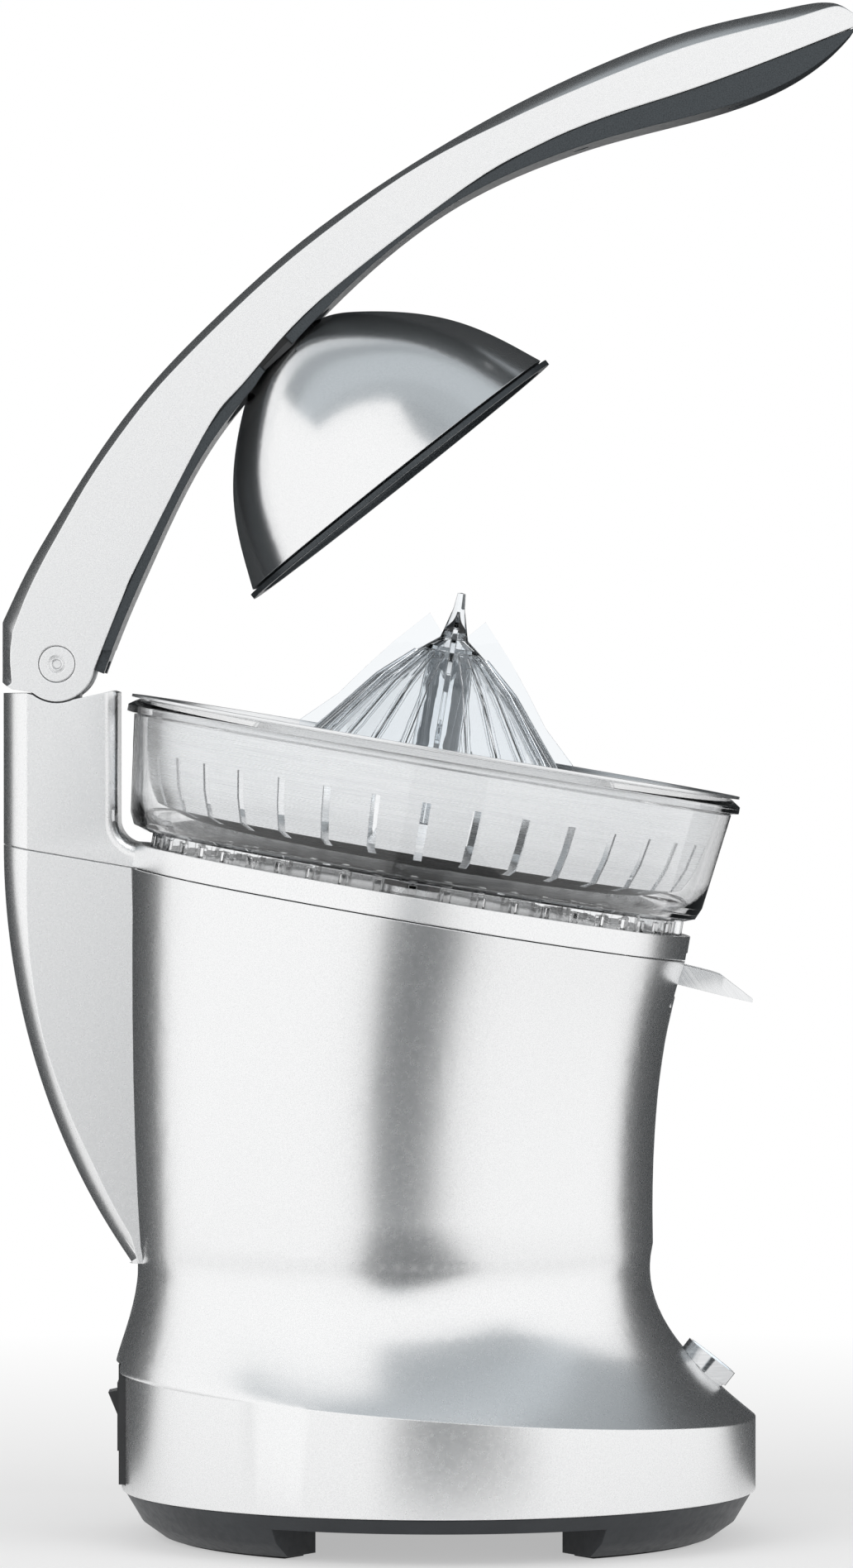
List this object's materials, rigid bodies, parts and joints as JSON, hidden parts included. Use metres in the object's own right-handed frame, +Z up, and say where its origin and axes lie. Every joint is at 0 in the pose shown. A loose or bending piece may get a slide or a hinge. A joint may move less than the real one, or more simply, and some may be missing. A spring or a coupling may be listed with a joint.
{
  "type": "citrus juice press",
  "caption": "Motor-driven citrus press with a lever arm, swivelling press dome, tilted strainer bowl with clear reamer cone and a tip-up spout on a flared metal body",
  "frame": {"origin": "on the floor under the middle of the part's length, with the arm raised", "axes": "+X to the spout at the front, +Y across, +Z up; symmetric about the XZ plane apart from the gear train"},
  "size_m": [0.3136, 0.2346, 0.5646],
  "materials": {
    "base_plastic": "satin",
    "black_rubber": "matte",
    "board_green": "satin",
    "case_plastic": "textured",
    "cast_metal": "as cast",
    "cone_clear": "clear, lightly tinted",
    "copper": "enamelled wire",
    "gear_plastic": "natural",
    "light_guide": "clear",
    "polished_steel": "polished",
    "rocker_black": "gloss",
    "silver_paint": "fine metallic paint",
    "slate_plastic": "satin",
    "smoke_clear": "clear, lightly tinted",
    "spring_steel": "oiled",
    "steel": "satin"
  },
  "bodies": {
    "frame": {"base_plate": "base_plastic", "foot_pads": "black_rubber", "lower_housing": "silver_paint", "upper_housing": "silver_paint", "rear_panel": "slate_plastic", "rocker_housing": "rocker_black", "cord_bush": "black_rubber", "power_button_bezel": "polished_steel", "button_light_ring": "light_guide", "button_switch": "case_plastic", "spout_pin": "steel", "spindle_bush": "copper", "spindle_seal": "black_rubber", "gear_case": "case_plastic", "gear_case_cover": "cast_metal", "case_screws": "steel", "intermediate_shaft": "steel", "motor_can": "steel", "motor_screws": "steel", "motor_windings": "copper", "motor_bearings": "steel", "start_switch": "case_plastic", "press_spring": "spring_steel", "control_board": "board_green", "board_parts": "case_plastic", "base_screws": "steel", "housing_screws": "steel", "hinge_bracket": "cast_metal", "bracket_screws": "steel", "arm_springs": "spring_steel"},
    "lever_arm": {"arm_shell": "silver_paint", "arm_rear_cover": "slate_plastic", "grip_cover": "slate_plastic", "grip_screws": "steel", "hinge_pin": "steel", "hinge_caps": "polished_steel", "dome_mount": "slate_plastic", "dome_pivot_pin": "steel"},
    "dome": {"dome_hub": "cast_metal", "hub_screw": "steel", "dome_shell": "polished_steel", "dome_liner": "slate_plastic"},
    "bowl": {"juice_bowl": "smoke_clear"},
    "basket": {"strainer_basket": "steel"},
    "thrust": {"thrust_carrier": "gear_plastic"},
    "spindle": {"drive_spindle": "steel"},
    "cone": {"juicing_cone": "cone_clear"},
    "output_wheel": {"output_gear": "gear_plastic"},
    "intermediate_wheel": {"intermediate_gear": "gear_plastic"},
    "rotor": {"motor_rotor": "steel", "motor_shaft": "steel", "motor_fan": "case_plastic"},
    "switch_plunger": {"start_switch_plunger": "light_guide"},
    "spout": {"spout": "steel"},
    "button": {"power_button": "slate_plastic"},
    "rocker": {"rocker_button": "rocker_black"}
  },
  "joints": [
    {"name": "arm_press", "type": "hinge", "parent": "frame", "child": "lever_arm", "pos_m": [-0.1369, 0, 0.3212], "axis": [0, 1, 0], "range_deg": [0, 40], "stiffness_Nm_per_rad": 2.2, "springref_deg": -63.03, "deforming": ["arm_springs"]},
    {"name": "dome_swivel", "type": "hinge", "parent": "lever_arm", "child": "dome", "pos_m": [-0.05674, 0, 0.44633], "axis": [0, 1, 0], "range_deg": [-6, 6], "stiffness_Nm_per_rad": 3, "springref_deg": -2.58},
    {"name": "bowl_lift", "type": "slide", "parent": "frame", "child": "bowl", "axis": [-0.1676, 0, -0.9859], "range_m": [-0.018, 0]},
    {"name": "basket_lift", "type": "slide", "parent": "bowl", "child": "basket", "axis": [-0.1676, 0, -0.9859], "range_m": [-0.02, 0]},
    {"name": "cone_press", "type": "slide", "parent": "frame", "child": "thrust", "axis": [-0.1676, 0, -0.9859], "range_m": [0, 0.002], "stiffness_N_per_m": 4000, "springref_m": -0.004, "deforming": ["press_spring"]},
    {"name": "spindle_spin", "type": "hinge", "parent": "thrust", "child": "spindle", "pos_m": [-0.00826, 0, 0.23085], "axis": [0.1676, 0, 0.9859], "continuous": true},
    {"name": "cone_lift", "type": "slide", "parent": "spindle", "child": "cone", "axis": [-0.1676, 0, -0.9859], "range_m": [-0.055, 0]},
    {"name": "output_gear_spin", "type": "hinge", "parent": "frame", "child": "output_wheel", "pos_m": [-0.01035, 0, 0.21853], "axis": [0.1676, 0, 0.9859], "continuous": true},
    {"name": "intermediate_spin", "type": "hinge", "parent": "frame", "child": "intermediate_wheel", "pos_m": [-0.03281, 0.03724, 0.21474], "axis": [0.1676, 0, 0.9859], "continuous": true},
    {"name": "motor_spin", "type": "hinge", "parent": "frame", "child": "rotor", "pos_m": [-0.04465, 0.00543, 0.16603], "axis": [0.1676, 0, 0.9859], "continuous": true},
    {"name": "start_switch_press", "type": "slide", "parent": "frame", "child": "switch_plunger", "axis": [-0.1676, 0, -0.9859], "range_m": [0, 0.00105]},
    {"name": "spout_tilt", "type": "hinge", "parent": "frame", "child": "spout", "pos_m": [0.0855, 0, 0.2022], "axis": [0, -1, 0], "range_deg": [0, 20]},
    {"name": "power_button_press", "type": "slide", "parent": "frame", "child": "button", "axis": [-0.6157, 0, -0.788], "range_m": [0, 0.0015], "stiffness_N_per_m": 800, "springref_m": -0.0015},
    {"name": "rocker_tilt", "type": "hinge", "parent": "frame", "child": "rocker", "pos_m": [-0.1132, 0, 0.0442], "axis": [0, 1, 0], "range_deg": [0, 24]}
  ],
  "couplings": [
    {"joint": "intermediate_spin", "follows": "motor_spin", "ratio": -0.23077},
    {"joint": "output_gear_spin", "follows": "motor_spin", "ratio": 0.061086},
    {"joint": "spindle_spin", "follows": "motor_spin", "ratio": 0.061086},
    {"joint": "start_switch_press", "follows": "cone_press", "ratio": 0.5}
  ]
}
